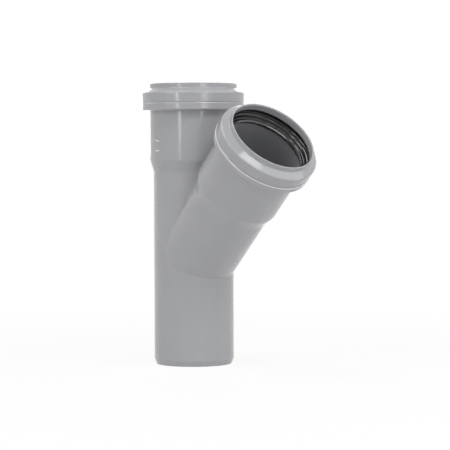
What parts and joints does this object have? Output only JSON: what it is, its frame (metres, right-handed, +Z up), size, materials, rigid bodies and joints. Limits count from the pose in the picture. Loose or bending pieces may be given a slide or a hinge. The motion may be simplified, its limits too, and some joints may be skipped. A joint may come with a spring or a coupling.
{
  "type": "drain pipe branch tee",
  "caption": "Push-fit drain branch: a plain spigot below, a sealed socket on the run and a like socket on a 45 degree side branch.",
  "frame": {"origin": "centre of the spigot's end face", "axes": "+Z up the run, the branch leans towards +X in the XZ plane"},
  "size_m": [0.1296, 0.0642, 0.1758],
  "materials": {
    "body": "satin grey, as moulded",
    "seal": "smooth black"
  },
  "bodies": {
    "root": {"body": "body", "run_seal": "seal", "branch_seal": "seal"}
  },
  "joints": []
}
